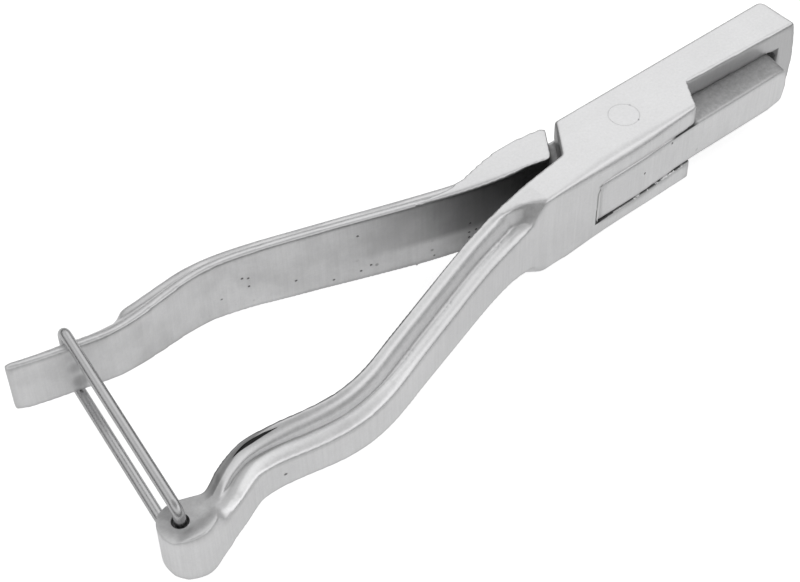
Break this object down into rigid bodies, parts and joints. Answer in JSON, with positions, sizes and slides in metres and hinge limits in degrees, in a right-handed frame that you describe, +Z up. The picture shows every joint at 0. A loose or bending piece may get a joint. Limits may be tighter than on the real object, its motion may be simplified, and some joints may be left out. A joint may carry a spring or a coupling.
{
  "type": "livestock ear notcher",
  "caption": "Steel hand plier that cuts a notch in an animal's ear: slotted head with a die window, pivoting punch lever, ribbed handles and a swinging wire latch.",
  "frame": {"origin": "the pivot axis where it meets the plane of the head's flat underside", "axes": "+X along the head towards the jaw tips, +Y towards the side the die jaw is on, +Z up along the pivot axis"},
  "size_m": [0.2304, 0.0712, 0.026],
  "materials": {
    "cast_steel": "cast steel, belt-polished to a satin",
    "rivet_steel": "ground flush with the plates",
    "wire_steel": "smooth drawn wire"
  },
  "bodies": {
    "frame": {"die_handle": "cast_steel", "pivot_rivet": "rivet_steel"},
    "lever": {"punch_lever": "cast_steel"},
    "latch": {"wire_latch": "wire_steel"}
  },
  "joints": [
    {"name": "lever_pivot", "type": "hinge", "parent": "frame", "child": "lever", "pos_m": [0, 0, 0.013], "axis": [0, 0, -1], "range_deg": [0, 16]},
    {"name": "latch_swing", "type": "hinge", "parent": "frame", "child": "latch", "pos_m": [-0.1589, -0.0279, 0.013], "axis": [0, 0, 1], "range_deg": [0, 240]}
  ],
  "couplings": [
    {"joint": "latch_swing", "follows": "lever_pivot", "ratio": 15}
  ]
}
